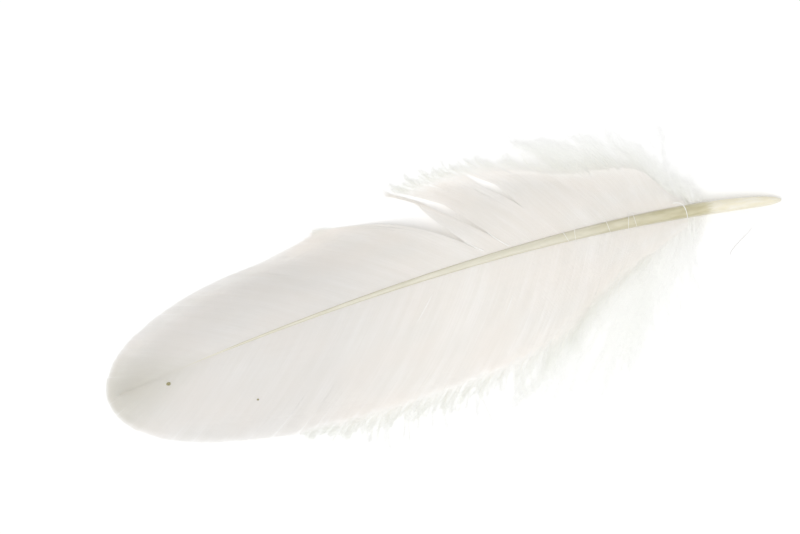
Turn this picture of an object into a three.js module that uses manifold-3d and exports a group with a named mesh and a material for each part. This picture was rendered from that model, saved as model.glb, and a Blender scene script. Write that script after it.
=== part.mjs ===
// A white goose shoulder feather, lying on a flat surface with its upper side up.
// Millimetres, +Z up. +X runs from the rounded tip of the vane to the end of the quill, and the
// origin is on the surface, under the middle of the feather's box.
//
// The shaft is one piece: the bare quill and the rachis that tapers on to the tip. A vane of barbs
// grows along each side of it, in overlapping bundles whose loose tips stand out past the web. The
// narrow vane has split in three places. Two tufts of down grow at the base, below the vanes.
import * as THREE from "three";
import { mergeVertices } from "three/addons/utils/BufferGeometryUtils.js";
import Module from "manifold-3d";

const wasm = await Module();
wasm.setup();

// Driving dimensions
const LENGTH = 155; // vane tip to quill end, in plan
const ARCH = 7.2; // height of the shaft's middle above the surface
const QUILL_RADIUS = 1.55; // where the quill becomes the rachis, the widest place of the shaft
const RACHIS_TIP_RADIUS = 0.12;
const VANE_THICKNESS = 0.55; // barbs with their barbules, at the shaft
const EDGE_THICKNESS = 0.3;
const RIDGE_HEIGHT = 0.22; // how far the middle of a bundle of barbs stands above its sides
const JOIN_GAP = 0.3; // between a piece and the one that it grows from

// Places along the shaft, as shares of its curve from quill end to rachis tip
const DOWN_START = 0.125; // where the quill ends and the first downy barbs grow
const VANE_START = 0.165;
const VANE_END = 0.985;

const HALF = LENGTH / 2;
const smooth = (x) => THREE.MathUtils.smoothstep(x, 0, 1);
const point = (x, y, z = 0) => new THREE.Vector3(x, y, z);

// The shaft's centre line: bowed a little sideways, and arched up off the surface.
const SIDE_BOW = 7.8;
const TIP_DROP = 3; // how far the rachis tip has come back across the chord
const shaftLine = new THREE.CubicBezierCurve3(
  point(HALF, 0, 0.75),
  point(HALF - 39.5, SIDE_BOW, 0.9 * ARCH),
  point(57.5 - HALF, SIDE_BOW - 2.5, 1.62 * ARCH),
  point(2.5 - HALF, -TIP_DROP, 0.5),
);

// Half the shaft's width at a share of its line: a blunt quill end, a straight quill, a long taper.
function shaftRadius(share) {
  const quill = 0.8 * (1 - Math.exp(-(share + 0.006) / 0.02)) + 0.2 * smooth(share / 0.2);
  const along = Math.max(0, (share - 0.14) / 0.86);
  const taper = (1 - along) ** 1.35;
  return Math.min(quill, 1) * QUILL_RADIUS * taper + RACHIS_TIP_RADIUS * along;
}

// The shaft's centre at a share of its line, and its own left and up when looking towards the tip.
function shaftFrame(share) {
  const centre = shaftLine.getPoint(share);
  const along = shaftLine.getTangent(share);
  const left = point(-along.y, along.x).normalize();
  return { centre, left, up: along.cross(left) };
}

// A closed body through rings of points that all have the same count. Each end is closed by a strip
// that joins the ring's first half to its second half.
function loft(rings) {
  const count = rings[0].length;
  const index = [];
  for (let i = 0; i < rings.length - 1; i++)
    for (let j = 0; j < count; j++) {
      const a = i * count + j;
      const b = i * count + ((j + 1) % count);
      index.push(a, b, a + count, b, b + count, a + count);
    }
  const last = (rings.length - 1) * count;
  for (let j = 0; j < count / 2 - 1; j++) {
    const [a, b, c, d] = [j, j + 1, count - 2 - j, count - 1 - j];
    index.push(a, c, b, a, d, c);
    index.push(last + a, last + b, last + c, last + a, last + c, last + d);
  }
  const geometry = new THREE.BufferGeometry().setFromPoints(rings.flat());
  geometry.setIndex(index);
  return volume(geometry) < 0 ? turnedInsideOut(geometry) : geometry;
}

function volume(geometry) {
  const at = (k) => point().fromBufferAttribute(geometry.attributes.position, geometry.index.getX(k));
  let sum = 0;
  for (let k = 0; k < geometry.index.count; k += 3) sum += at(k).dot(at(k + 1).cross(at(k + 2)));
  return sum;
}

function turnedInsideOut(geometry) {
  geometry.setIndex([...geometry.index.array].reverse());
  return geometry;
}

// Joining and cutting
function solid(geometry) {
  const plain = geometry.clone();
  plain.deleteAttribute("normal");
  plain.deleteAttribute("uv");
  const merged = mergeVertices(plain, 1e-4);
  return new wasm.Manifold(
    new wasm.Mesh({
      numProp: 3,
      vertProperties: merged.attributes.position.array,
      triVerts: new Uint32Array(merged.index.array),
    }),
  );
}

function geometryOf(body) {
  const mesh = body.getMesh();
  return new THREE.BufferGeometry()
    .setAttribute("position", new THREE.BufferAttribute(mesh.vertProperties, 3))
    .setIndex(new THREE.BufferAttribute(mesh.triVerts, 1));
}

// The shaft: round at the quill and squarer along the rachis, with a groove along its underside.
const SHAFT_STEPS = 34;
const SHAFT_SIDES = 10;
const GROOVE = 0.35; // depth as a share of the radius

function shaftRing(share, gap) {
  const { centre, left, up } = shaftFrame(share);
  const radius = shaftRadius(share) + gap;
  const rachis = smooth((share - DOWN_START) / 0.12);
  const ring = [];
  for (let k = 0; k < SHAFT_SIDES; k++) {
    const angle = (2 * Math.PI * (k + 0.5)) / SHAFT_SIDES;
    const [c, s] = [Math.cos(angle), Math.sin(angle)];
    const squareness = 1 - 0.35 * rachis;
    const across = Math.sign(c) * Math.abs(c) ** squareness * radius;
    const groove = s < -0.99 && !gap ? GROOVE * rachis : 0;
    const height = Math.sign(s) * Math.abs(s) ** squareness * radius * (1 - groove);
    ring.push(centre.clone().addScaledVector(left, across).addScaledVector(up, height));
  }
  return ring;
}

function shaftGeometry(gap = 0) {
  const rings = [];
  for (let i = 0; i <= SHAFT_STEPS; i++) rings.push(shaftRing((i / SHAFT_STEPS) ** 1.15, gap));
  return loft(rings);
}

// A vane. Its web ends at an outline of three Bezier pieces that runs from beside the shaft, at the
// base, to the tip of the feather. loose says how far the tips of its bundles stand past the web.
const APEX = 0.1 - HALF;
const APEX_SIDE = -0.4 - TIP_DROP; // in line with the rachis
const TIP_GAP = RACHIS_TIP_RADIUS + JOIN_GAP; // from that line to each vane
const WIDE_VANE = {
  side: -1,
  bundles: 22,
  outline: [
    [[56, 0], [46, -4.5], [35, -8], [28, -14.2]],
    [[28, -14.2], [20, -19.5], [-6, -22.6], [-30, -21.9]],
    [[-30, -21.9], [-52.5, -21.3], [APEX, -15.6], [APEX, APEX_SIDE - TIP_GAP]],
  ],
  loose: (share) => 0.7 + 5.6 * smooth(share / 0.14) * smooth((0.62 - share) / 0.2),
};
const NARROW_VANE = {
  side: 1,
  bundles: 22,
  outline: [
    [[56, 6.2], [42, 12], [28, 24], [10, 24.3]],
    [[10, 24.3], [-8, 24.5], [-25, 18.5], [-40, 16.3]],
    [[-40, 16.3], [-60, 14.5], [APEX, 6.5], [APEX, APEX_SIDE + TIP_GAP]],
  ],
  loose: (share) => 0.7 + 3.4 * smooth(share / 0.14) * smooth((0.5 - share) / 0.2),
};

const SWEEP = 0.12; // share of the outline by which the barbs at the middle end nearer the tip
const BOW = 0.12; // how far a barb bows out from its chord, as a share of the chord
const FLAT_FROM = 0.88; // past this share of its barbs, the web lies flat on the surface
const LIFTED_BASE = 0.3; // share of the vane, from its base, that down holds up off the surface
const ROWS = [0, 0.18, 0.36, 0.54, 0.72, FLAT_FROM]; // reaches along a barb; one more at its end
const COLUMNS_PER_BUNDLE = 4;

function outlinePath(pieces) {
  const path = new THREE.CurvePath();
  for (const piece of pieces)
    path.add(new THREE.CubicBezierCurve3(...piece.map(([x, y]) => point(x, y))));
  return path;
}

// One barb in plan: it leaves the shaft at an angle and bends a little more towards the tip.
function barb(vane, share) {
  const onShaft = THREE.MathUtils.lerp(VANE_START, VANE_END, share);
  const { centre, left } = shaftFrame(onShaft);
  const outward = left.multiplyScalar(-vane.side);
  const root = centre.addScaledVector(outward, shaftRadius(onShaft) + JOIN_GAP);
  const height = root.z;
  const start = root.setZ(0);
  const end = vane.path.getPoint(share + SWEEP * Math.sin(Math.PI * share));
  const chord = start.distanceTo(end);
  const bow = BOW * chord * smooth(share / 0.08) * (1 - share ** 3);
  const control = start.clone().lerp(end, 0.5).addScaledVector(outward, bow);
  const plan = new THREE.QuadraticBezierCurve3(start, control, end);
  return { plan, chord, height, lift: 1 - smooth(share / LIFTED_BASE) };
}

// A place along a barb. A reach past 1 runs straight on beyond the web.
function barbPoint({ plan, chord, height, lift }, reach) {
  const at = plan.getPoint(Math.min(reach, 1));
  if (reach > 1) at.addScaledVector(plan.getTangent(1), (reach - 1) * chord);
  const fall = smooth(Math.min(1, reach / FLAT_FROM) ** 1.25);
  return at.setZ(height * (1 - fall * (1 - 0.9 * lift)));
}

function vaneGeometry(vane) {
  const columns = vane.bundles * COLUMNS_PER_BUNDLE;
  const rings = [];
  for (let i = 0; i <= columns; i++) {
    const share = i / columns;
    const fibre = barb(vane, share);
    const inBundle = Math.sin((Math.PI * i) / COLUMNS_PER_BUNDLE) ** 2;
    const past = (vane.loose(share) * inBundle ** 2 + 0.15 * (i % 3)) / fibre.chord;
    const top = [];
    const under = [];
    for (const reach of [...ROWS, 1 + past]) {
      const low = barbPoint(fibre, reach);
      const inner = Math.min(reach, 1);
      const thickness =
        THREE.MathUtils.lerp(VANE_THICKNESS, EDGE_THICKNESS, inner) +
        RIDGE_HEIGHT * inBundle * Math.sin(Math.PI * inner);
      top.push(low.clone().setZ(low.z + thickness));
      under.unshift(low);
    }
    rings.push([...top, ...under]);
  }
  return loft(rings);
}

// Everything above a vane's underside, less a gap: nothing that lies below the vane reaches it.
const CEILING_TOP = 30;

function ceilingGeometry(vane) {
  const columns = vane.bundles * COLUMNS_PER_BUNDLE;
  const rings = [];
  for (let i = 0; i <= columns; i++) {
    const fibre = barb(vane, i / columns);
    const past = (vane.loose(i / columns) + 1) / fibre.chord;
    const under = [...ROWS, 1 + past].map((reach) => barbPoint(fibre, reach));
    const top = under.map((low) => low.clone().setZ(CEILING_TOP)).reverse();
    rings.push([...under.map((low) => low.setZ(low.z - JOIN_GAP)), ...top]);
  }
  return loft(rings);
}

// A split in a vane: two barbs have come apart from near the shaft outwards. from and to are reaches
// along the barb, and width is its widest place, at the share peak of the way.
const SPLITS = [
  { share: 0.335, from: 0.12, to: 1.2, width: 2.4, peak: 0.45 },
  { share: 0.395, from: 0.12, to: 1.7, width: 27, peak: 0.99 },
  { share: 0.25, from: 0.36, to: 1, width: 1.8, peak: 0.5 },
];
const SPLIT_STEPS = 8;
const SPLIT_HEIGHT = 30; // through the vane at any height

function splitGeometry(vane, split) {
  const fibre = barb(vane, split.share);
  const sides = [[], []];
  for (let k = 0; k <= SPLIT_STEPS; k++) {
    const way = k / SPLIT_STEPS;
    const at = barbPoint(fibre, THREE.MathUtils.lerp(split.from, split.to, way));
    const tangent = fibre.plan.getTangent(Math.min(1, split.from + way));
    const opening = way < split.peak ? way / split.peak : (1 - way) / (1 - split.peak);
    const half = 0.15 + (split.width / 2) * opening ** 1.5;
    sides[0].push(new THREE.Vector2(at.x - tangent.y * half, at.y + tangent.x * half));
    sides[1].unshift(new THREE.Vector2(at.x + tangent.y * half, at.y - tangent.x * half));
  }
  const outline = new THREE.Shape(sides.flat());
  const geometry = new THREE.ExtrudeGeometry(outline, { depth: SPLIT_HEIGHT, bevelEnabled: false });
  return geometry.translate(0, 0, -SPLIT_HEIGHT / 2);
}

// A tuft of down: tapered locks that fan out from the underside of the shaft, below the vane, and
// lie on the surface. Their tips follow an outline, and every other lock stops a little short of it.
const WIDE_DOWN = {
  side: -1,
  outline: [[[59.5, -5], [58.5, -20], [46, -38], [15.5, -31]]],
};
const NARROW_DOWN = {
  side: 1,
  outline: [[[60.5, 10], [60.5, 24], [47.5, 37], [20, 30]]],
};
const LOCKS = 11; // on each side
const SHORT_LOCK = 0.86; // length of the shorter ones
const LOCK_STEPS = 5;
const LOCK_SIDES = 6;
const LOCK_WIDTH = 2; // half, at the widest
const LOCK_HEIGHT = 1.5; // half

function lockLine(side, tip, share) {
  const { centre, left, up } = shaftFrame(THREE.MathUtils.lerp(DOWN_START, 0.2, share));
  const start = centre.addScaledVector(left, -side * 1.6).addScaledVector(up, -0.7);
  const bend = start.clone().lerp(tip, 0.45).add(point(4.5 - 3 * share, side * 3, 0.6));
  return new THREE.QuadraticBezierCurve3(start, bend, tip);
}

function lockGeometry(line) {
  const rings = [];
  for (let i = 0; i <= LOCK_STEPS; i++) {
    const way = i / LOCK_STEPS;
    const at = line.getPoint(way);
    const tangent = line.getTangent(way);
    const across = point(-tangent.y, tangent.x).normalize();
    const fullness = 0.1 + 0.9 * Math.sin(Math.PI * (0.2 + 0.8 * way)) ** 0.8;
    const half = LOCK_HEIGHT * fullness;
    const ring = [];
    for (let k = 0; k < LOCK_SIDES; k++) {
      const angle = (2 * Math.PI * k) / LOCK_SIDES;
      const place = at.clone().addScaledVector(across, LOCK_WIDTH * fullness * Math.cos(angle));
      ring.push(place.setZ(Math.max(at.z, half) + (half * Math.sin(angle)) / Math.sin(Math.PI / 3)));
    }
    rings.push(ring);
  }
  return loft(rings);
}

function downGeometry({ side, outline }, rooms) {
  const tips = outlinePath(outline);
  let tuft = null;
  for (let k = 0; k < LOCKS; k++) {
    const share = k / (LOCKS - 1);
    const { centre } = shaftFrame(DOWN_START);
    const tip = centre.lerp(tips.getPoint(share), k % 2 ? SHORT_LOCK : 1).setZ(0);
    const lock = solid(lockGeometry(lockLine(side, tip, share)));
    tuft = tuft ? tuft.add(lock) : lock;
  }
  for (const room of rooms) tuft = tuft.subtract(room);
  const biggestFirst = tuft.decompose().sort((a, b) => b.volume() - a.volume());
  return geometryOf(biggestFirst[0]);
}

// Materials
const HORN = new THREE.MeshStandardMaterial({ color: "#d9d0b4", roughness: 0.45, metalness: 0 });
const WEB = new THREE.MeshStandardMaterial({ color: "#f1eee6", roughness: 0.75, metalness: 0 });
const FLUFF = new THREE.MeshStandardMaterial({ color: "#faf9f5", roughness: 0.95, metalness: 0 });

function piece(name, geometry, material) {
  const mesh = new THREE.Mesh(geometry, material);
  mesh.name = name;
  return mesh;
}

// The feather
for (const vane of [WIDE_VANE, NARROW_VANE]) vane.path = outlinePath(vane.outline);
const splits = SPLITS.map((split) => solid(splitGeometry(NARROW_VANE, split)));
const narrowVane = splits.reduce((left, cut) => left.subtract(cut), solid(vaneGeometry(NARROW_VANE)));
const shaftRoom = solid(shaftGeometry(JOIN_GAP));
const roomsBelow = (vane) => [shaftRoom, solid(ceilingGeometry(vane))];

const feather = new THREE.Group();
feather.add(
  piece("shaft", shaftGeometry(), HORN),
  piece("wide_vane", vaneGeometry(WIDE_VANE), WEB),
  piece("narrow_vane", geometryOf(narrowVane), WEB),
  piece("wide_side_down", downGeometry(WIDE_DOWN, roomsBelow(WIDE_VANE)), FLUFF),
  piece("narrow_side_down", downGeometry(NARROW_DOWN, roomsBelow(NARROW_VANE)), FLUFF),
);

const box = new THREE.Box3().setFromObject(feather);
const middle = box.getCenter(point());
feather.position.set(-middle.x, -middle.y, -box.min.z);

export default feather;
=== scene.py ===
"""A white goose shoulder feather on a pale surface, seen from above.

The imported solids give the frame. Here each vane becomes some hundreds of barbs, each tuft of down
becomes barbs with barbules, and the shaft gets a smooth surface. Shapes are worked out in the part's
own millimetres, from the same dimensions as the solids, and moved into the frame in metres at the end.
"""

import math

import bpy
import numpy as np
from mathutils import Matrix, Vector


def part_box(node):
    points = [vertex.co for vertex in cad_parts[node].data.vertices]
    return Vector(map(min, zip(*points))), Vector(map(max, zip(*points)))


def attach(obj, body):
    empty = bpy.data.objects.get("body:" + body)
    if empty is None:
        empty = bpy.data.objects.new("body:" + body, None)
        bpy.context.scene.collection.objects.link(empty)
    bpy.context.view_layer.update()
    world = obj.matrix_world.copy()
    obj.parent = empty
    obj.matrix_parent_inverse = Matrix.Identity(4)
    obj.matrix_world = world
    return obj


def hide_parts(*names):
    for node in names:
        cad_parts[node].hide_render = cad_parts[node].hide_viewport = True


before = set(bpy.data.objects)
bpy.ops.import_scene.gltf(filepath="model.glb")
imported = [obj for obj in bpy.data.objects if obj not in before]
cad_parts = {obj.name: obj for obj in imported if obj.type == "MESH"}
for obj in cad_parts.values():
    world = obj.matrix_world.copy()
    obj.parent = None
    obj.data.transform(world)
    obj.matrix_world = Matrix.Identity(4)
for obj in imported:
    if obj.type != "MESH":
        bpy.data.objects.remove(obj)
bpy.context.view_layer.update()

# Driving dimensions of the solids, in millimetres
MM = 0.001
LENGTH = 155.0
HALF = LENGTH / 2
ARCH = 7.2
QUILL_RADIUS = 1.55
RACHIS_TIP_RADIUS = 0.12
JOIN_GAP = 0.3
SIDE_BOW = 7.8
TIP_DROP = 3.0
GROOVE = 0.35
APEX = 0.1 - HALF
APEX_SIDE = -0.4 - TIP_DROP

# Places along the shaft, as shares of its curve
DOWN_START = 0.125
VANE_START = 0.165
VANE_END = 0.985

RACHIS_FROM = 0.14
RACHIS_SPAN = 0.86

# The barbs' own shape
SWEEP = 0.12  # how far a barb's tip runs ahead of its root, as a share of the vane
BOW = 0.12  # of its chord
FLAT_FROM = 0.88  # reach from which the vane lies on the surface
LIFTED_BASE = 0.3  # share of the vane, from the quill, that stands off the surface

SHAFT_LINE = [
    (HALF, 0, 0.75),
    (HALF - 39.5, SIDE_BOW, 0.9 * ARCH),
    (57.5 - HALF, SIDE_BOW - 2.5, 1.62 * ARCH),
    (2.5 - HALF, -TIP_DROP, 0.5),
]
WIDE_OUTLINE = [
    [(56, 0), (46, -4.5), (35, -8), (28, -14.2)],
    [(28, -14.2), (20, -19.5), (-6, -22.6), (-30, -21.9)],
    [(-30, -21.9), (-52.5, -21.3), (APEX, -15.6), (APEX, APEX_SIDE)],
]
NARROW_OUTLINE = [
    [(56, 6.2), (42, 12), (28, 24), (10, 24.3)],
    [(10, 24.3), (-8, 24.5), (-25, 18.5), (-40, 16.3)],
    [(-40, 16.3), (-60, 14.5), (APEX, 6.5), (APEX, APEX_SIDE)],
]
WIDE_DOWN_TIPS = [[(59.5, -5), (58.5, -20), (46, -38), (15.5, -31)]]
NARROW_DOWN_TIPS = [[(60.5, 10), (60.5, 24), (47.5, 37), (20, 30)]]

# Where the narrow vane has split: the barb it runs along, its first and last reach along that barb,
# its widest place and where that is, the shares of barbs on each side that have drawn together, how
# softly the far ones give way, and where the hairline ahead of it starts
SPLITS = [
    dict(
        share=0.334, start=0.09, end=1.2, width=2.4, peak=0.48,
        before=0.05, after=0.022, ease=1.0, hair=0.02,
    ),
    dict(
        share=0.377, start=0.11, end=1.7, width=27.0, peak=0.99,
        before=0.042, after=0.17, ease=1.6, hair=0.05,
    ),
    dict(
        share=0.25, start=0.36, end=1.0, width=1.8, peak=0.5,
        before=0.05, after=0.05, ease=1.0, hair=0.3,
    ),
]
MOST_DRAWN = 0.85  # how closely barbs beside a split may draw together
HAIRLINE = 0.13  # half the width of the slit ahead of a split, in millimetres


# Curves


def smooth(x):
    x = np.clip(x, 0, 1)
    return x * x * (3 - 2 * x)


def bezier(points, t):
    """Points of a cubic Bezier curve at t, for any shape of t."""
    a, b, c, d = (np.asarray(p, float) for p in points)
    t = np.asarray(t, float)[..., None]
    s = 1 - t
    return a * s**3 + 3 * b * s * s * t + 3 * c * s * t * t + d * t**3


def bezier_slope(points, t):
    a, b, c, d = (np.asarray(p, float) for p in points)
    t = np.asarray(t, float)[..., None]
    s = 1 - t
    return 3 * ((b - a) * s * s + 2 * (c - b) * s * t + (d - c) * t * t)


def arc(start, bend, end, t):
    """Points of a quadratic Bezier curve at t."""
    return start * (1 - t) ** 2 + 2 * bend * t * (1 - t) + end * t * t


def unit(vectors):
    return vectors / np.linalg.norm(vectors, axis=-1, keepdims=True)


def level_of(along):
    """A level direction across each given one."""
    return unit(np.stack([-along[..., 1], along[..., 0], 0 * along[..., 0] + 1e-6], -1))


def shaft_at(share):
    """The shaft's centre at a share of its line, and its own left and up when looking to the tip."""
    centre = bezier(SHAFT_LINE, share)
    along = unit(bezier_slope(SHAFT_LINE, share))
    left = unit(np.stack([-along[..., 1], along[..., 0], 0 * along[..., 0]], -1))
    return centre, left, np.cross(along, left)


def shaft_radius(share):
    quill = 0.8 * (1 - np.exp(-(share + 0.006) / 0.02)) + 0.2 * smooth(share / 0.2)
    along = np.maximum(0, (share - RACHIS_FROM) / RACHIS_SPAN)
    taper = (1 - along) ** 1.35
    return np.minimum(quill, 1) * QUILL_RADIUS * taper + RACHIS_TIP_RADIUS * along


def path_of(pieces):
    """A function of 0 to 1 along joined Bezier pieces, at an even pace, in plan."""
    steps = np.linspace(0, 1, 300)
    points = np.concatenate([bezier(piece, steps) for piece in pieces])
    gone = np.concatenate([[0], np.cumsum(np.linalg.norm(np.diff(points, axis=0), axis=1))])
    gone /= gone[-1]
    return lambda u: np.stack([np.interp(u, gone, points[:, k]) for k in (0, 1)], -1)


# Barbs of the vanes. side is -1 for the wide vane and 1 for the narrow one.

BASE_BULGE = np.array([1.2, 4.4])  # how far the narrow vane's lowest barbs stand out past its outline
BULGE_RISE, BULGE_FALL, BULGE_END = 0.07, 0.14, 0.21  # along the outline
SHORTEST_TIPS = 0.7


def fuller_base(edge):
    """An edge that stands out further near the quill."""

    def at(u):
        bulge = smooth(u / BULGE_RISE) * smooth((BULGE_END - u) / BULGE_FALL)
        return edge(u) + np.asarray(bulge)[..., None] * BASE_BULGE

    return at


VANES = {
    "wide": dict(side=-1, edge=path_of(WIDE_OUTLINE), loose=6.6, loose_until=0.62),
    "narrow": dict(side=1, edge=fuller_base(path_of(NARROW_OUTLINE)), loose=3.4, loose_until=0.5),
}


def loose_tips(vane, share):
    """How far the loose tips of barbs may stand past the web, which is most towards the quill."""
    growing = vane["loose"] * smooth(share / 0.14)
    return SHORTEST_TIPS + growing * smooth((vane["loose_until"] - share) / 0.2)


def barb_chord(vane, share):
    """Where the barb at a share of the vane starts and ends in plan, and its height at the start."""
    on_shaft = VANE_START + share * (VANE_END - VANE_START)
    centre, left, _ = shaft_at(on_shaft)
    outward = -vane["side"] * left
    gap = JOIN_GAP * (1 - smooth((share - 0.8) / 0.2))
    root = centre + outward * (shaft_radius(on_shaft) + gap)[..., None]
    end = vane["edge"](np.clip(share + SWEEP * np.sin(math.pi * share), 0, 1))
    return root[..., :2], end, outward[..., :2], root[..., 2]


def barb_point(vane, share, reach):
    """A point of the vane's underside: share along the vane, reach from the shaft to its edge."""
    share, reach = np.broadcast_arrays(share, reach)
    share = np.clip(share, 0, 1)
    start, end, outward, height = barb_chord(vane, share)
    chord = np.linalg.norm(end - start, axis=-1)
    bow = BOW * chord * smooth(share / 0.08) * (1 - share**3)
    control = (start + end) / 2 + outward * bow[..., None]
    inner = np.minimum(reach, 1)[..., None]
    plan = start * (1 - inner) ** 2 + 2 * control * inner * (1 - inner) + end * inner**2
    past = np.maximum(reach - 1, 0) * chord
    plan = plan + unit(end - control) * past[..., None]
    fall = smooth(np.clip(reach / FLAT_FROM, 0, 1) ** 1.25)
    lift = 1 - smooth(share / LIFTED_BASE)
    z = height * (1 - fall * (1 - 0.9 * lift))
    return np.concatenate([plan, z[..., None]], -1)


def surface_at(vane, share, reach):
    """A point of the vane with its directions along the barb and across, its normal, and how far
    apart in millimetres two barbs are there for each unit of share."""
    step = 0.004
    centre = barb_point(vane, share, reach)
    along = barb_point(vane, share, reach + 0.01) - barb_point(vane, share, reach - 0.01)
    along = unit(along)
    low, high = np.clip(share - step, 0, 1), np.clip(share + step, 0, 1)
    across = barb_point(vane, high, reach) - barb_point(vane, low, reach)
    across = across - (across * along).sum(-1, keepdims=True) * along
    pitch = np.linalg.norm(across, axis=-1) / (high - low)
    across = unit(across)
    normal = np.cross(along, across)
    normal *= np.sign(normal[..., 2:])
    return centre, along, across, normal, pitch


def split_apart(vane, share, reach):
    """Shares moved so that the barbs beside each split have drawn together and left it open."""
    if vane["side"] < 0:
        return share
    for split in SPLITS:
        way = (reach - split["start"]) / (split["end"] - split["start"])
        opening = np.where(way < split["peak"], way / split["peak"], (1 - way) / (1 - split["peak"]))
        half = split["width"] / 2 * np.clip(opening, 0, 1) ** 1.5
        half += HAIRLINE * smooth((reach - split["hair"]) / 0.06) * (way < 1)
        gap = half / surface_at(vane, np.full_like(reach, split["share"]), reach)[-1]
        away = share - split["share"]
        gap_after = np.minimum(gap, MOST_DRAWN / split["ease"] * split["after"])
        gap_before = np.minimum(gap, MOST_DRAWN * split["before"])
        after = share + gap_after * np.clip(1 - away / split["after"], 0, 1) ** split["ease"]
        before = share - gap_before * np.clip(1 + away / split["before"], 0, 1)
        share = np.where((away >= 0) & (away < split["after"]), after, share)
        share = np.where((away < 0) & (away > -split["before"]), before, share)
    return share


# Meshes


def frame_offset():
    """From the part's millimetres to the frame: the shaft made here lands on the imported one."""
    corner = shaft_sections().reshape(-1, 3).min(0)
    return np.array(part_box("shaft")[0]) / MM - corner


def shaft_sections(rings=200, sides=36):
    """The shaft's rings: round at the quill and squarer along the rachis, grooved underneath."""
    share = np.linspace(0, 1, rings) ** 1.15
    centre, left, up = (part[:, None, :] for part in shaft_at(share))
    radius = shaft_radius(share)[:, None]
    angle = (np.arange(sides) + 0.5) * 2 * math.pi / sides
    rachis = smooth((share - DOWN_START) / 0.12)[:, None]
    squareness = 1 - 0.35 * rachis
    c, s = np.cos(angle), np.sin(angle)
    across = np.sign(c) * np.abs(c) ** squareness * radius
    groove = GROOVE * rachis * np.exp(-(((angle - 1.5 * math.pi) / 0.42) ** 2))
    height = np.sign(s) * np.abs(s) ** squareness * radius * (1 - groove)
    return centre + left * across[..., None] + up * height[..., None]


OFFSET = frame_offset()


def piece(name, vertices, faces, uv, material, slot, nodes=(), shade_smooth=False):
    """One closed mesh in the frame. faces is a list of arrays, one for each count of corners."""
    loops = np.concatenate([f.ravel() for f in faces])
    counts = np.concatenate([np.full(len(f), f.shape[1]) for f in faces])
    starts = np.concatenate([[0], np.cumsum(counts)[:-1]])
    mesh = bpy.data.meshes.new(name)
    mesh.vertices.add(len(vertices))
    mesh.vertices.foreach_set("co", ((vertices + OFFSET) * MM).astype(np.float32).ravel())
    mesh.loops.add(len(loops))
    mesh.loops.foreach_set("vertex_index", loops.astype(np.int32))
    mesh.polygons.add(len(starts))
    mesh.polygons.foreach_set("loop_start", starts.astype(np.int32))
    layer = mesh.uv_layers.new(name="UVMap")
    layer.data.foreach_set("uv", uv[loops].astype(np.float32).ravel())
    mesh.update(calc_edges=True)
    mesh.polygons.foreach_set("use_smooth", np.full(len(starts), shade_smooth))
    mesh.materials.append(material)
    obj = bpy.data.objects.new(name, mesh)
    bpy.context.scene.collection.objects.link(obj)
    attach(obj, "root")
    if nodes:
        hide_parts(*nodes)


def strands(sections, uv):
    """Vertices, faces and uv of closed lofts: sections is strands by rings by points by 3."""
    count, rings, points, _ = sections.shape
    first = (np.arange(count)[:, None] * rings + np.arange(rings - 1)) * points
    a = first[..., None] + np.arange(points)
    b = first[..., None] + (np.arange(points) + 1) % points
    quads = np.stack([a, b, b + points, a + points], -1).reshape(-1, 4)
    start = (np.arange(count) * rings * points)[:, None] + np.arange(points)[::-1]
    end = ((np.arange(count) * rings + rings - 1) * points)[:, None] + np.arange(points)
    vertices = sections.reshape(-1, 3)
    faces = [quads, start, end]
    if volume(vertices, quads) < 0:
        faces = [f[:, ::-1] for f in faces]
    return vertices, faces, uv.reshape(-1, 2)


def volume(vertices, quads):
    a, b, c, d = (vertices[quads[:, k]] for k in range(4))
    return (np.cross(b - a, d - a) * a).sum() + (np.cross(d - c, b - c) * c).sum()


def spikes(base, tip, radius, uv):
    """Thin closed spikes: three corners at the base and one at the tip."""
    along = unit(tip - base)
    side = unit(np.cross(along, [0.3, 0.2, 1.0]))
    other = np.cross(along, side)
    corners = []
    for k in range(3):
        angle = 2 * math.pi * k / 3
        offset = side * math.cos(angle) + other * math.sin(angle)
        corners.append(base + offset * np.broadcast_to(radius, base.shape[:1])[:, None])
    vertices = np.stack([*corners, tip], 1).reshape(-1, 3)
    first = np.arange(len(base))[:, None] * 4
    faces = np.concatenate([first + [0, 1, 3], first + [1, 2, 3], first + [2, 0, 3], first + [2, 1, 0]])
    return vertices, [faces], np.repeat(uv, 4, axis=0)


def joined(*parts):
    """Several sets of vertices, faces and uv as one."""
    vertices, faces, uv, count = [], [], [], 0
    for part_vertices, part_faces, part_uv in parts:
        vertices.append(part_vertices)
        faces += [f + count for f in part_faces]
        uv.append(part_uv)
        count += len(part_vertices)
    return np.concatenate(vertices), faces, np.concatenate(uv)


# The vanes

BARBS = 400  # in each vane
WEB_RINGS = 17
TIP_RINGS = 6
LOWEST = 0.04  # of anything, above the surface
BARB_OVERLAP = 0.62  # half a barb's width, in barb spacings
BARB_SECTION = np.array(  # across the barb in half widths, and up in millimetres
    [(-1, 0.0), (-0.3, 0.02), (0, 0.075), (0.3, 0.04), (1, 0.05), (0, -0.07)]
)
SHAFT_OF_BARB = 0.055  # half the width of a barb without its web
WEB_HEIGHT = 0.22  # of a barb's middle over the underside
WEB_TOP = 0.36  # of the web's upper surface over the underside
CLUMP_SIZES = (4, 19)
PULL_FROM = 0.3  # reach from which the barbs of a clump draw together


def clumps(random, count):
    """Barbs hold together in clumps: for each barb its clump's middle, pull, height and shortness."""
    middle, pull, ridge, short = np.zeros((4, count))
    at = 0
    while at < count:
        size = int(random.integers(*CLUMP_SIZES))
        members = slice(at, min(at + size, count))
        middle[members] = (at + size / 2) / count
        pull[members] = 0.015 + 0.09 * random.random() ** 3 + 0.16 * (random.random() > 0.93)
        place = (np.arange(count)[members] - at + 0.5) / size
        ridge[members] = np.sin(math.pi * place) * random.uniform(0.0, 0.07)
        short[members] = random.random() ** 3
        at += size
    return middle, pull, ridge, short


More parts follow.
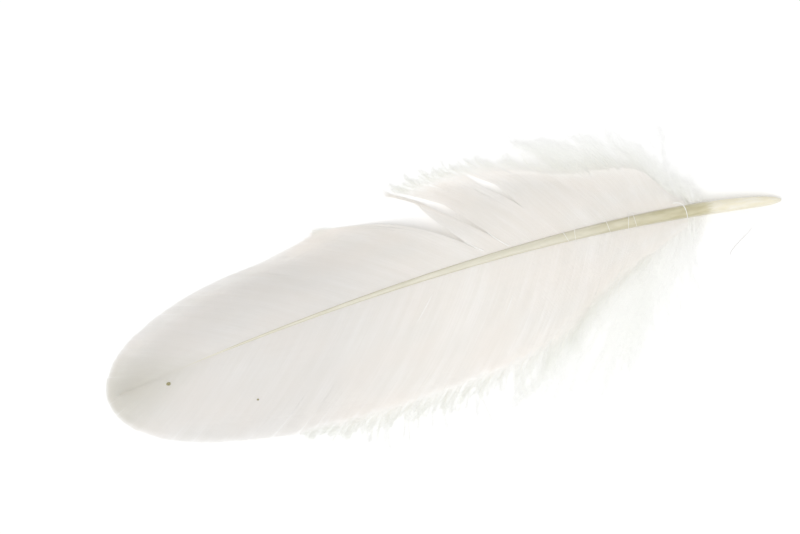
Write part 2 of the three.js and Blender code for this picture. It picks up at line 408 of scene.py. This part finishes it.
def web_layout(random, vane):
    """Shares and reaches of every ring of every barb of a vane, and where its web ends."""
    share = (np.arange(BARBS) + 0.5) / BARBS
    middle, pull, ridge, short = clumps(random, BARBS)
    start, end, _, _ = barb_chord(vane, share)
    chord = np.linalg.norm(end - start, axis=-1)
    loose = loose_tips(vane, share)
    downy = smooth((loose - 1) / 3)
    # How much of its web each barb lacks at its tip, in millimetres
    missing = 0.1 * random.random(BARBS) + 0.3 * short + 1.8 * downy * random.random(BARBS) ** 2
    web_end = 1 + (0.35 * (1 - downy) - missing) / chord
    own = 1 - 0.6 * random.random(BARBS) ** 1.5
    tip = np.maximum(1 + (loose * own - 0.3) / chord, web_end + 0.3 / chord)
    inner = np.linspace(0, 1, WEB_RINGS)
    outer = np.linspace(0, 1, TIP_RINGS + 1)[1:]
    root = -(JOIN_GAP + 0.12) / chord
    web_part = root[:, None] + (web_end - root)[:, None] * inner
    tip_part = web_end[:, None] + (tip - web_end)[:, None] * outer
    reach = np.concatenate([web_part, tip_part], axis=1)
    drawn = smooth((reach - PULL_FROM) / (1 - PULL_FROM)) * pull[:, None]
    shares = share[:, None] + (middle[:, None] - share[:, None]) * drawn
    shares = split_apart(vane, shares, reach)
    close = np.abs(np.diff(shares[:, -1], append=1)) * BARBS < 0.6
    return dict(
        shares=shares, reach=reach, web_end=web_end, ridge=ridge, chord=chord, downy=downy, close=close
    )


def waves(shares, reach):
    """Slow unevenness of the vane's surface, in millimetres."""
    slow = 0.15 * np.sin(9.5 * shares * math.pi + 2.1 * reach)
    quick = 0.06 * np.sin(23 * shares * math.pi - 3.7 * reach + 1)
    return (slow + quick) * smooth(reach * 3)


def tip_drift(random, beyond, downy):
    """How far the loose tips stray sideways and up, in millimetres, for each ring of each barb."""
    count = len(beyond)
    out = np.maximum(beyond, 0)
    curl = random.normal(0, 0.09, (count, 1)) * out**1.5
    wave = 0.12 * np.sin(random.uniform(0, 6.3, (count, 1)) + 1.7 * out) * smooth(out / 1.5)
    sweep = -0.03 * out**2 * downy[:, None]
    rise = np.abs(random.normal(0, 0.5, (count, 1))) * smooth(out / 5)
    return curl + wave + sweep, rise


def vane_sections(random, vane, layout):
    """Rings of every barb, their uv, and the barbs' own lines."""
    shares, reach = layout["shares"], layout["reach"]
    centre, _, across, normal, pitch = surface_at(vane, shares, reach)
    beyond = (reach - layout["web_end"][:, None]) * layout["chord"][:, None]
    closing = smooth(1 - (beyond + 0.7) / 1.0)
    step = np.abs(np.diff(shares, axis=0))
    spacing = np.minimum(np.vstack([step[:1], step]), np.vstack([step, step[-1:]]))
    spacing = np.clip(spacing, 0.35 / BARBS, 1 / BARBS)
    hair = SHAFT_OF_BARB * (1 - 0.6 * smooth(beyond / 5))
    half_width = np.maximum(BARB_OVERLAP * pitch * spacing * closing, hair)
    flatness = np.maximum(closing, 0.3) * (1 - 0.5 * smooth(reach))
    domed = (layout["ridge"][:, None] * smooth(reach * 1.6) + waves(shares, reach)) * (0.3 + 0.7 * closing)
    sideways, rise = tip_drift(random, beyond, layout["downy"])
    middle = centre + normal * (WEB_HEIGHT + domed)[..., None] + across * sideways[..., None]
    middle[..., 2] += rise
    wide = across[:, :, None] * (half_width[..., None] * BARB_SECTION[:, 0])[..., None]
    high = normal[:, :, None] * (flatness[..., None] * BARB_SECTION[:, 1])[..., None]
    points = middle[:, :, None] + wide + high
    points[..., 2] = np.maximum(points[..., 2], LOWEST)
    uv = np.stack(np.broadcast_arrays(shares[..., None], reach[..., None] + 0 * BARB_SECTION[:, 0]), -1)
    return points, uv, middle


def barbule_roots(random, lines, per_mm, crowding):
    """Where barbules stand on lines: their line's number, the way along it, the place, the direction."""
    number, rings, _ = lines.shape
    whole = np.linalg.norm(np.diff(lines, axis=1), axis=-1).sum(1)
    counts = np.maximum(whole * per_mm, 1).astype(int)
    row = np.repeat(np.arange(number), counts)
    first = np.repeat(np.cumsum(counts) - counts, counts)
    way = ((np.arange(len(row)) - first + random.random(len(row))) / counts[row]) ** crowding
    place = way * (rings - 1)
    low = np.minimum(place.astype(int), rings - 2)
    part = (place - low)[:, None]
    base = lines[row, low] * (1 - part) + lines[row, low + 1] * part
    return row, way, base, unit(lines[row, low + 1] - lines[row, low])


def barbules(random, lines, per_mm, length, turn, radius, roll, crowding):
    """Fine side fibres on lines, which are strands by rings by 3. length is a function of the way along
    its line, turn and roll are the angles at which they stand off, and crowding below 1 puts more of
    them near the tips."""
    row, way, base, along = barbule_roots(random, lines, per_mm, crowding)
    level = level_of(along)
    up = np.cross(along, level)
    which = np.where(random.random(len(row)) < 0.5, -1.0, 1.0)
    tilt = random.normal(0, roll, len(row))
    sideways = level * (which * np.cos(tilt))[:, None] + up * np.sin(tilt)[:, None]
    angle = random.normal(*turn, len(row))
    heading = along * np.cos(angle)[:, None] + sideways * np.sin(angle)[:, None]
    tip = base + heading * (length(way) * random.uniform(0.6, 1.15, len(row)))[:, None]
    tip[:, 2] = np.maximum(tip[:, 2], LOWEST)
    return spikes(base, tip, radius, np.stack([row / len(lines), way], -1))


BARE_TIP = 0.9  # millimetres of bare tip from which a barb carries a fringe


def make_vane(name, seed, web, fringe):
    """The barbs of a vane, and the loose barbules on their tips."""
    random = np.random.default_rng(seed)
    vane = VANES[name]
    layout = web_layout(random, vane)
    points, uv, middle = vane_sections(random, vane, layout)
    piece(name + "_vane_barbs", *strands(points, uv), web, "web", [name + "_vane"])
    bare = (layout["reach"][:, -1] - layout["web_end"]) * layout["chord"]
    wispy = (bare > BARE_TIP) & ~layout["close"] & (layout["downy"] > 0.3)
    tips = middle[wispy][:, WEB_RINGS - 1 :]
    fibres = barbules(random, tips, 15, lambda way: 1.7 - 0.6 * way, (0.7, 0.3), 0.013, 0.5, 0.6)
    piece(name + "_vane_fringe", *fibres, fringe, "fluff")


# The down

DOWN_BARBS = 165  # on each side
DOWN_RINGS = 20
DOWN_PER_MM = {"wide": 7.4, "narrow": 8.5}  # barbules on each barb
LOCKS = 11
LOCK_SPREAD = 0.11  # of the barbs of one lock, along the outline
ROOTS_FROM, ROOTS_SPAN = 0.14, 0.08  # where along the shaft the barbs of down start
LOWEST_BARB = 0.1  # above the surface
FAR_REACHING = 0.1  # share of the barbs that reach the solid's tips; the mass of down stops short
WIDE_MASS = [
    [(57.5, -6), (55, -17), (50, -21.5), (42, -23.6)],
    [(42, -23.6), (37, -27), (36, -36.5), (7, -29)],
]
NARROW_MASS = [
    [(59, 7), (57.5, 14), (50, 19), (44, 24.5)],
    [(44, 24.5), (40, 27), (32, 26.5), (22, 27.5)],
]
DOWN = {
    "wide": dict(side=-1, mass=path_of(WIDE_MASS), far=path_of(WIDE_DOWN_TIPS), lean=-3.0, skew=0.6),
    "narrow": dict(side=1, mass=path_of(NARROW_MASS), far=path_of(NARROW_DOWN_TIPS), lean=-1.0, skew=1.0),
}


def down_ends(random, lock, side, mass, far, lean, skew):
    """Where downy barbs start, bend and end. They fan out from the shaft's base below the vane. Most end
    at mass and some at far. lean pulls their middles along the shaft, and skew below 1 crowds them
    towards the vane's tip."""
    lock_share = (np.arange(LOCKS) + random.uniform(-0.3, 0.3, LOCKS)) / (LOCKS - 1)
    share = np.clip(lock_share[lock] + random.normal(0, LOCK_SPREAD, DOWN_BARBS), 0, 1) ** skew
    base = shaft_at(np.array(DOWN_START))[0]
    length = 1 - (1 - random.uniform(0.4, 1.0, DOWN_BARBS) ** 0.5) * (1 - 0.85 * share)
    reaching = (random.random(DOWN_BARBS) < FAR_REACHING)[:, None]
    tip = np.c_[np.where(reaching, far(share), mass(share)), np.zeros(DOWN_BARBS)]
    tip = base + (tip - base) * length[:, None]
    tip[:, 2] = random.uniform(0.1, 1.6, DOWN_BARBS)
    centre, left, up = shaft_at(ROOTS_FROM + ROOTS_SPAN * share)
    start = centre - side * 1.1 * left - up * random.uniform(-0.2, 0.9, DOWN_BARBS)[:, None]
    bend = start * 0.55 + tip * 0.45
    bend[:, 0] += lean * share + random.normal(0, 0.9, DOWN_BARBS)
    bend[:, 1] += side * random.normal(0.6, 0.8, DOWN_BARBS)
    bend[:, 2] = random.uniform(0.6, 3.4, DOWN_BARBS) * (1 - 0.35 * share)
    return start, bend, tip


def down_lines(random, **shape):
    """Downy barbs gathered into wavy locks. shape is what down_ends takes."""
    lock = np.arange(DOWN_BARBS) % LOCKS
    start, bend, tip = down_ends(random, lock, **shape)
    t = np.linspace(0, 1, DOWN_RINGS)[None, :, None]
    line = arc(start[:, None], bend[:, None], tip[:, None], t)
    t = t[..., 0]
    lock_turn = random.uniform(0, 6.3, LOCKS)[lock][:, None]
    own_turn = random.uniform(0, 6.3, (DOWN_BARBS, 1))
    wave = 1.1 * (np.sin(lock_turn + 5.5 * t) - np.sin(lock_turn)) * smooth(t)
    wave += 0.45 * np.sin(own_turn + 12 * t) * smooth(t * 1.5)
    aside = unit((tip - start)[:, :2])[:, ::-1] * (-1, 1)
    line[..., :2] += wave[..., None] * aside[:, None]
    line[..., 2] += 0.3 * np.sin(own_turn + 9 * t) * smooth(t * 2)
    line[..., 2] = np.maximum(line[..., 2], LOWEST_BARB)
    return line


def tube_sections(lines, radius):
    """Three-sided sections along lines. radius is one number for each ring."""
    along = unit(np.gradient(lines, axis=1))
    level = level_of(along)
    up = np.cross(along, level)
    angle = np.arange(3) * 2 * math.pi / 3
    offset = level[:, :, None] * np.cos(angle)[:, None] + up[:, :, None] * np.sin(angle)[:, None]
    points = lines[:, :, None] + offset * np.asarray(radius)[:, None, None]
    points[..., 2] = np.maximum(points[..., 2], LOWEST)
    return points


def tube_uv(sections):
    number, rings, points, _ = sections.shape
    u = np.arange(number)[:, None, None] / number
    v = np.linspace(0, 1, rings)[None, :, None]
    return np.stack(np.broadcast_arrays(u, v, np.zeros((1, 1, points)))[:2], -1)


def barbule_length(way):
    """Longest past the first quarter of a downy barb, and short again at its tip."""
    return 0.35 + 2.0 * smooth(way / 0.35) * smooth((1.25 - way) / 0.5)


def make_down(name, seed, material):
    """One tuft of down: barbs, and barbules on them."""
    random = np.random.default_rng(seed)
    lines = down_lines(random, **DOWN[name])
    sections = tube_sections(lines, np.linspace(0.05, 0.015, DOWN_RINGS))
    fibres = barbules(random, lines, DOWN_PER_MM[name], barbule_length, (1.0, 0.25), 0.012, 0.8, 0.75)
    mesh = joined(strands(sections, tube_uv(sections)), fibres)
    piece(name + "_side_down_barbs", *mesh, material, "fluff", [name + "_side_down"])


# Single barbs out of place, pale strands that stand in for light through the splits, and specks. Places are
# in plan, in the part's millimetres.

HAIRS_ON_VANE = [[(-2.4, 0.2), (-4.8, -2.3), (-7.4, -5.0)], [(14.6, -4.6), (13.4, -6.4), (11.5, -9.0)]]
# Painted light: pale strands across the inner ends of the splits, standing in for light showing through the
# gaps
LIT_SPLIT_STRANDS = [[(16.6, 6.1), (14.8, 7.9), (12.9, 10.1)], [(11.0, 6.5), (9.3, 7.9), (7.4, 9.5)]]
HAIRS_OVER_SHAFT = [(29.3, 0.6), (31.2, -0.2), (38.8, 0.3), (43.2, -0.5), (44.8, 0.2)]  # place and lean
HAIR_RINGS = 12
LOOSE_RINGS = 24
HAIR_LIFT = (0, 0, 0.2)  # of a hair on the wide vane, clear of its waves
CURLED_BARB = [(54.0, 5.5), (56.0, 4.6), (56.3, 1.6)]
LOOSE_BARB = [(64.5, 0.6), (71.0, -2.6), (67.5, -5.8), (63.5, -8.8)]
FLAKE = dict(place=(-63.8, -3.5), size=(0.5, 0.36, 0.12))
DOT = dict(place=(-45.7, -12.1), size=(0.24, 0.2, 0.1))


def top_of(vane, plan):
    """Height of a vane's upper surface at places in plan."""
    share, reach = np.meshgrid(np.linspace(0, 1, 240), np.linspace(0, 1, 60))
    points = barb_point(vane, share.ravel(), reach.ravel())
    away = np.linalg.norm(points[None, :, :2] - np.asarray(plan)[:, None], axis=-1)
    return points[away.argmin(1), 2] + WEB_TOP


def through(points, count=HAIR_RINGS):
    """A smooth line through the given places, thinned to count points."""
    points = np.asarray(points, float)
    at = np.linspace(0, 1, len(points))
    t = np.linspace(0, 1, count)
    fit = [np.polyval(np.polyfit(at, points[:, k], len(points) - 1), t) for k in range(points.shape[1])]
    return np.stack(fit, -1)


def hair_over_shaft(x, lean):
    """A thin barb bent over the shaft at x."""
    share = np.linspace(0, 0.6, 400)
    centre, left, up = shaft_at(share)
    at = np.abs(centre[:, 0] - x).argmin()
    top = centre[at] + up[at] * (shaft_radius(share[at]) + 0.12)
    reach = shaft_radius(share[at]) + 0.7
    low = centre[at][2] + 0.5
    ends = [top + left[at] * reach * way + (lean * way, 0, 0) for way in (-1, 1)]
    for end in ends:
        end[2] = low
    bend = top * 2 - (ends[0] + ends[1]) / 2
    return arc(ends[0], bend, ends[1], np.linspace(0, 1, HAIR_RINGS)[:, None])


def hair_on(vane, place):
    """A barb that lies on a vane through the given places."""
    plan = through(place)
    return np.c_[plan, top_of(vane, plan) + 0.05]


def make_strays(fluff, filament):
    """The barbs out of place, pale strands in the splits that stand in for light through the gaps, and the
    loose one beside the quill.
    """
    over_shaft = [hair_over_shaft(x, lean) for x, lean in HAIRS_OVER_SHAFT]
    thin = tube_sections(np.array(over_shaft), np.linspace(0.08, 0.035, HAIR_RINGS))
    on_vane = [hair_on(VANES["wide"], place) for place in HAIRS_ON_VANE]
    width = 0.15 * np.sin(np.linspace(0.4, 2.9, HAIR_RINGS))
    pointed = tube_sections(np.array(on_vane) + HAIR_LIFT, width)
    curled = np.c_[through(CURLED_BARB), 4.9 + 0.5 * np.sin(np.linspace(0.4, 3.0, HAIR_RINGS))]
    lit_split_strands = [hair_on(VANES["narrow"], place) for place in LIT_SPLIT_STRANDS]
    thick = tube_sections(np.array([curled, *lit_split_strands]), np.linspace(0.17, 0.1, HAIR_RINGS))
    sections = np.concatenate([thin, pointed, thick])
    piece("stray_barbs", *strands(sections, tube_uv(sections)), fluff, "fluff")
    loose = np.c_[through(LOOSE_BARB, LOOSE_RINGS), np.linspace(1.0, 0.1, LOOSE_RINGS)][None]
    width = 0.012 + 0.06 * smooth((np.linspace(0, 1, LOOSE_RINGS) - 0.35) / 0.4)
    sections = tube_sections(loose, width)
    piece("loose_barb", *strands(sections, tube_uv(sections)), filament, "fluff")


def make_speck(name, speck, seed, material):
    """A small uneven flake that lies on the wide vane."""
    random = np.random.default_rng(seed)
    rings, sides = 8, 14
    turn = (np.arange(sides) + 0.5) * 2 * math.pi / sides
    rise = np.linspace(-0.95, 0.95, rings)
    rough = 1 + random.normal(0, 0.13, (rings, sides))
    ring = np.sqrt(1 - rise**2)[:, None] * rough
    points = np.stack([np.cos(turn) * ring, np.sin(turn) * ring, rise[:, None] + 0 * ring], -1)
    points = points * speck["size"]
    place = np.array([speck["place"]])
    points += np.array([*speck["place"], top_of(VANES["wide"], place)[0] + speck["size"][2] * 0.4])
    uv = np.stack(np.broadcast_arrays(turn[None] / 6.3, rise[:, None]), -1)
    piece(name, *strands(points[None], uv[None]), material, "horn", shade_smooth=True)


# The shaft

PIT_DEPTH = 0.5  # of the small hole in the quill's end


def make_shaft(material):
    """The quill and rachis, with a pit in the quill's end."""
    rings = shaft_sections()
    centre = rings[0].mean(0)
    inward = unit(rings[8].mean(0) - centre)
    rim = centre + (rings[0] - centre) * 0.62
    pit = centre + (rings[0] - centre) * 0.45 + inward * PIT_DEPTH
    sections = np.concatenate([[pit, rim], rings])[None]
    share = np.concatenate([[0, 0], np.linspace(0, 1, len(rings)) ** 1.15])
    turn = (np.arange(rings.shape[1]) + 0.5) / rings.shape[1]
    uv = np.stack(np.broadcast_arrays(share[:, None], turn[None, :]), -1)[None]
    piece("shaft_surface", *strands(sections, uv), material, "horn", ["shaft"], shade_smooth=True)


# Materials


class Nodes:
    """A material's node tree, with short ways to add and join nodes."""

    def __init__(self, name):
        self.material = bpy.data.materials.new(name)
        self.material.use_nodes = True
        self.tree = self.material.node_tree
        self.tree.nodes.clear()

    def add(self, kind, inputs=None, **settings):
        node = self.tree.nodes.new(kind)
        for key, value in settings.items():
            setattr(node, key, value)
        for key, value in (inputs or {}).items():
            self.put(node.inputs[key], value)
        return node

    def put(self, socket, value):
        if isinstance(value, bpy.types.NodeSocket):
            self.tree.links.new(value, socket)
        else:
            socket.default_value = value

    def math(self, operation, a, b=0.0):
        return self.add("ShaderNodeMath", {0: a, 1: b}, operation=operation).outputs[0]

    def fade(self, value, low, high):
        """0 below low and 1 above high, smooth between."""
        node = self.add(
            "ShaderNodeMapRange",
            {"Value": value, "From Min": low, "From Max": high},
            interpolation_type="SMOOTHSTEP",
        )
        return node.outputs[0]

    def mix(self, factor, a, b, blend="MIX"):
        node = self.add("ShaderNodeMix", data_type="RGBA", blend_type=blend)
        self.put(node.inputs[0], factor)
        self.put(node.inputs[6], a)
        self.put(node.inputs[7], b)
        return node.outputs[2]

    def noise(self, vector, scale, detail):
        node = self.add("ShaderNodeTexNoise", {"Vector": vector, "Scale": scale, "Detail": detail})
        return node.outputs["Fac"]

    def stretched(self, vector, scale):
        return self.add("ShaderNodeMapping", {"Vector": vector, "Scale": scale}).outputs[0]

    def finish(self, shader):
        self.add("ShaderNodeOutputMaterial", {"Surface": shader})
        return self.material


def grey(value):
    return (value, value, value, 1)


def lit_through(nodes, surface, colour, share):
    """A surface that also lets some light through from behind."""
    through = nodes.add("ShaderNodeBsdfTranslucent", {"Color": colour})
    mixed = nodes.add("ShaderNodeMixShader", {0: share, 1: surface, 2: through.outputs[0]})
    return mixed.outputs[0]


def web_material():
    nodes = Nodes("web")
    uv = nodes.add("ShaderNodeUVMap", uv_map="UVMap").outputs[0]
    place = nodes.add("ShaderNodeSeparateXYZ", {0: uv}).outputs
    streaks = nodes.noise(nodes.stretched(uv, (420, 2.2, 1)), 1.0, 3)
    bundles = nodes.noise(nodes.stretched(uv, (46, 1.3, 1)), 1.0, 2)
    clouds = nodes.noise(nodes.stretched(uv, (9, 2.5, 1)), 1.0, 1)
    white = nodes.mix(nodes.fade(streaks, 0.3, 0.7), (0.945, 0.937, 0.922, 1), (0.983, 0.978, 0.97, 1))
    shaded = nodes.mix(0.4, white, (0.92, 0.91, 0.885, 1))
    white = nodes.mix(nodes.fade(bundles, 0.35, 0.65), shaded, white)
    warmer = nodes.mix(0.35, white, (0.965, 0.935, 0.905, 1))
    white = nodes.mix(nodes.fade(clouds, 0.3, 0.7), warmer, white)
    # Painted shade: the web's colour darkens towards the vane's tip, and is darker and yellower still at
    # its very end
    tip_shade = nodes.math("MULTIPLY", nodes.fade(place[0], 0.38, 0.66), 0.36)
    colour = nodes.mix(tip_shade, white, (0.865, 0.858, 0.85, 1))
    end_shade = nodes.math("MULTIPLY", nodes.fade(place[0], 0.83, 1.0), 0.4)
    colour = nodes.mix(end_shade, colour, (0.77, 0.755, 0.68, 1))
    hairs = nodes.noise(nodes.stretched(uv, (900, 260, 1)), 1.0, 2)
    bump = nodes.add("ShaderNodeBump", {"Height": hairs, "Strength": 0.12, "Distance": 0.00004})
    surface = nodes.add(
        "ShaderNodeBsdfPrincipled",
        {
            "Base Color": colour,
            "Roughness": 0.62,
            "Specular IOR Level": 0.35,
            "Sheen Weight": 0.12,
            "Sheen Roughness": 0.4,
            "Normal": bump.outputs[0],
        },
    )
    return nodes.finish(lit_through(nodes, surface.outputs[0], colour, 0.5))


def fluff_material(name, tip_from, tip_colour):
    """Downy fibres, whose outer part from tip_from on has a colour of its own."""
    nodes = Nodes(name)
    uv = nodes.add("ShaderNodeUVMap", uv_map="UVMap").outputs[0]
    place = nodes.add("ShaderNodeSeparateXYZ", {0: uv}).outputs
    mottle = nodes.noise(nodes.stretched(uv, (150, 3, 1)), 1.0, 2)
    colour = nodes.mix(nodes.fade(mottle, 0.3, 0.7), (0.988, 0.989, 0.984, 1), (0.998, 0.998, 0.996, 1))
    colour = nodes.mix(nodes.fade(place[1], tip_from, tip_from + 0.6), colour, tip_colour)
    surface = nodes.add(
        "ShaderNodeBsdfPrincipled",
        {"Base Color": colour, "Roughness": 0.8, "Specular IOR Level": 0.2},
    )
    return nodes.finish(lit_through(nodes, surface.outputs[0], colour, 0.5))


def horn_material():
    nodes = Nodes("horn")
    uv = nodes.add("ShaderNodeUVMap", uv_map="UVMap").outputs[0]
    place = nodes.add("ShaderNodeSeparateXYZ", {0: uv}).outputs
    grain = nodes.noise(nodes.stretched(uv, (26, 9, 1)), 1.0, 3)
    fine = nodes.noise(nodes.stretched(uv, (60, 60, 1)), 1.0, 4)
    uneven = nodes.math("ADD", place[0], nodes.math("MULTIPLY", nodes.math("SUBTRACT", fine, 0.5), 0.03))
    clear = nodes.mix(nodes.fade(grain, 0.35, 0.7), (0.91, 0.87, 0.72, 1), (0.95, 0.93, 0.85, 1))
    olive = nodes.mix(nodes.fade(grain, 0.3, 0.7), (0.62, 0.575, 0.38, 1), (0.73, 0.69, 0.5, 1))
    pale = nodes.mix(nodes.fade(grain, 0.3, 0.7), (0.75, 0.725, 0.6, 1), (0.82, 0.795, 0.69, 1))
    olive = nodes.mix(nodes.fade(place[0], 0.17, 0.42), olive, pale)
    # Painted light: the rachis is made paler along its two sides, where it faces left and right in plan
    painted_edge_light = nodes.math("ABSOLUTE", nodes.math("COSINE", nodes.math("MULTIPLY", place[1], 2 * math.pi)))
    olive = nodes.mix(nodes.fade(painted_edge_light, 0.7, 1.0), olive, (0.8, 0.77, 0.66, 1))
    colour = nodes.mix(nodes.fade(uneven, 0.118, 0.136), clear, olive)
    colour = nodes.mix(nodes.fade(place[0], 0.8, 0.97), colour, (0.9, 0.885, 0.83, 1))
    height = nodes.math("ADD", grain, nodes.math("MULTIPLY", fine, 0.4))
    bump = nodes.add("ShaderNodeBump", {"Height": height, "Strength": 0.35, "Distance": 0.0001})
    surface = nodes.add(
        "ShaderNodeBsdfPrincipled",
        {
            "Base Color": colour,
            "Roughness": 0.34,
            "Specular IOR Level": 0.5,
            "Coat Weight": 0.15,
            "Coat Roughness": 0.2,
            "Normal": bump.outputs[0],
        },
    )
    return nodes.finish(lit_through(nodes, surface.outputs[0], colour, 0.25))


def speck_material():
    nodes = Nodes("speck")
    uv = nodes.add("ShaderNodeUVMap", uv_map="UVMap").outputs[0]
    place = nodes.add("ShaderNodeSeparateXYZ", {0: uv}).outputs
    grain = nodes.noise(nodes.stretched(uv, (6, 3, 1)), 1.0, 4)
    colour = nodes.mix(nodes.fade(grain, 0.35, 0.65), (0.13, 0.11, 0.045, 1), (0.52, 0.48, 0.27, 1))
    colour = nodes.mix(nodes.fade(place[1], 0.2, 0.75), nodes.mix(0.6, colour, (0.6, 0.57, 0.4, 1)), colour)
    bump = nodes.add("ShaderNodeBump", {"Height": grain, "Strength": 0.6, "Distance": 0.0001})
    surface = nodes.add(
        "ShaderNodeBsdfPrincipled",
        {"Base Color": colour, "Roughness": 0.7, "Normal": bump.outputs[0]},
    )
    return nodes.finish(surface.outputs[0])


def floor_material():
    nodes = Nodes("pale_floor")
    uv = nodes.add("ShaderNodeTexCoord").outputs["Object"]
    tone = nodes.noise(uv, 3.0, 1)
    colour = nodes.mix(tone, grey(0.93), grey(0.95))
    surface = nodes.add("ShaderNodeBsdfPrincipled", {"Base Color": colour, "Roughness": 0.9})
    return nodes.finish(surface.outputs[0])


# The stage

PHOTO_WIDTH = 800
FEATHER_PIXELS = 701.0  # from vane tip to quill end in the photograph
TILT = math.radians(15.3)  # of the feather in the photograph, quill end up
VIEW_CENTRE = (-7.7, 7.9, 2.0)  # what the photograph's middle shows, in the part's millimetres
CAMERA_HEIGHT = 1.0
SENSOR = 36.0
KEY_PLACE = (-0.1, -0.3, 1.2)
KEY_SIZE = 0.9
KEY_POWER = 7.8
SKY_STRENGTH = 0.7
FLOOR_SIZE = 6


def make_camera():
    data = bpy.data.cameras.new("camera")
    data.sensor_width = SENSOR
    seen_width = LENGTH * MM * PHOTO_WIDTH / FEATHER_PIXELS
    data.lens = SENSOR * CAMERA_HEIGHT / seen_width
    camera = bpy.data.objects.new("camera", data)
    target = (np.array(VIEW_CENTRE) + OFFSET) * MM
    camera.location = (target[0], target[1], target[2] + CAMERA_HEIGHT)
    camera.rotation_euler = (0, 0, -TILT)
    bpy.context.scene.collection.objects.link(camera)
    bpy.context.scene.camera = camera


def make_light(name, location, size, power):
    """A square soft light that points at the middle of the frame."""
    data = bpy.data.lights.new(name, "AREA")
    data.size = size
    data.energy = power
    light = bpy.data.objects.new(name, data)
    light.location = location
    direction = -np.array(location)
    flat = math.hypot(direction[0], direction[1])
    turn = math.atan2(direction[1], direction[0]) - math.pi / 2
    light.rotation_euler = (math.atan2(flat, -direction[2]), 0, turn)
    bpy.context.scene.collection.objects.link(light)


def make_stage():
    bpy.ops.mesh.primitive_plane_add(size=FLOOR_SIZE)
    floor = bpy.context.object
    floor.name = "floor"
    floor.data.materials.append(floor_material())
    world = bpy.data.worlds.new("studio")
    world.use_nodes = True
    sky = world.node_tree.nodes["Background"].inputs
    sky["Color"].default_value = grey(1)
    sky["Strength"].default_value = SKY_STRENGTH
    bpy.context.scene.world = world
    make_light("key", KEY_PLACE, KEY_SIZE, KEY_POWER)
    bpy.context.scene.view_settings.view_transform = "Standard"


def let_light_travel():
    """Light crosses many fibres in the down, which would go grey with the usual number of bounces."""
    bpy.context.scene.cycles.max_bounces = 64
    bpy.context.scene.cycles.diffuse_bounces = 48
    bpy.context.scene.cycles.transmission_bounces = 48


make_stage()
let_light_travel()
make_camera()
web = web_material()
fluff = fluff_material("fluff", 0.3, (0.988, 0.989, 0.984, 1))
fringe = fluff_material("fringe", -0.6, (0.965, 0.969, 0.955, 1))
filament = fluff_material("filament", -0.6, (0.86, 0.85, 0.84, 1))
make_shaft(horn_material())
speck = speck_material()
make_vane("wide", 11, web, fringe)
make_vane("narrow", 12, web, fringe)
make_down("wide", 13, fluff)
make_down("narrow", 14, fluff)
make_strays(fluff, filament)
make_speck("flake", FLAKE, 15, speck)
make_speck("dot", DOT, 16, speck)
